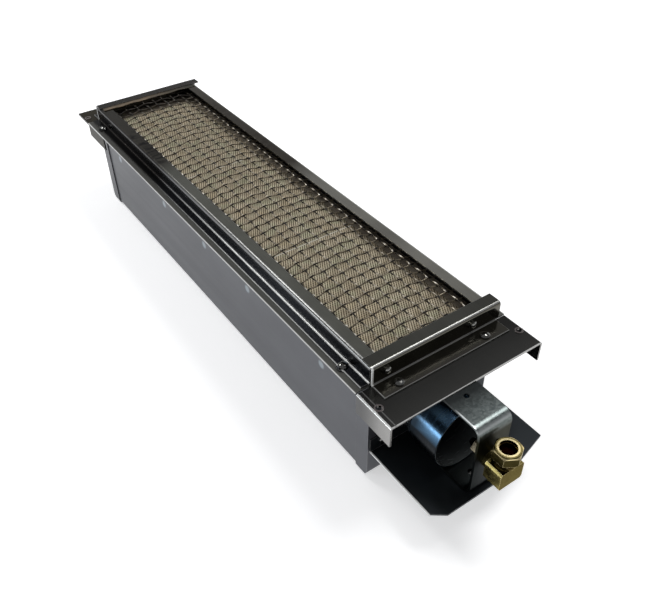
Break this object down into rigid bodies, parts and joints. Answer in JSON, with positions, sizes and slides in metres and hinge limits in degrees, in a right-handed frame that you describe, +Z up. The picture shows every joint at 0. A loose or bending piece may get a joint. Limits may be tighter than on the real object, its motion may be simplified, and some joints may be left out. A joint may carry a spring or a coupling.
{
  "type": "ceramic infrared gas burner",
  "caption": "Long narrow ceramic-tile infrared gas burner: sheet steel box, raised frame with wire screen, hanger plates, venturi tube and brass elbow inlet.",
  "frame": {"origin": "middle of the bounding box at the lowest face, the underside of the end caps", "axes": "+Z up through the radiant face, +Y from the gas inlet to the rear hanger plate, +X across the burner"},
  "size_m": [0.147, 0.65, 0.1245],
  "materials": {
    "box_steel": "dull grey mill finish, folded sheet",
    "dark_steel": "dark heat-tinted stainless with bright edges",
    "tray_steel": "blackened sheet in shadow under the frame",
    "ceramic": "matt porous khaki ceramic with fine holes",
    "cement": "matt pale cement",
    "fibre": "soft white ceramic fibre",
    "wire": "heat-darkened stainless wire",
    "tube_steel": "smooth bluish steel tube",
    "shelf_steel": "near-black satin sheet",
    "zinc": "zinc plated with faint spangle",
    "brass": "aged yellow brass with bright edges",
    "screw_steel": "plated pan heads, nuts and rivets"
  },
  "bodies": {
    "burner": {"burner_box": "box_steel", "front_cap": "box_steel", "rear_cap": "box_steel", "tile_tray": "tray_steel", "tile_gasket": "fibre", "tile_1": "ceramic", "tile_2": "ceramic", "tile_3": "ceramic", "joint_strips": "cement", "wire_screen": "wire", "left_rail": "dark_steel", "right_rail": "dark_steel", "front_clamp": "dark_steel", "rear_clamp": "dark_steel", "front_plate": "dark_steel", "rear_plate": "dark_steel", "baffle_plate": "tray_steel", "venturi_tube": "tube_steel", "tube_collar": "tube_steel", "tube_saddle": "tube_steel", "saddle_rivets": "screw_steel", "air_shelf": "shelf_steel", "shelf_screws": "screw_steel", "shelf_nuts": "screw_steel", "orifice_bracket": "zinc", "bracket_rivets": "screw_steel", "elbow_body": "brass", "lock_nut": "brass", "orifice_spud": "brass", "ferrule": "brass", "rail_screws": "screw_steel", "rail_nuts": "screw_steel", "front_clamp_screws": "screw_steel", "rear_clamp_screws": "screw_steel", "clamp_nuts": "screw_steel", "clamp_rivets": "screw_steel"},
    "nut": {"inlet_nut": "brass"}
  },
  "joints": [
    {"name": "inlet_nut_turn", "type": "hinge", "parent": "burner", "child": "nut", "pos_m": [-0.01, -0.31396, 0.0852], "axis": [0, 0, 1], "continuous": true}
  ]
}
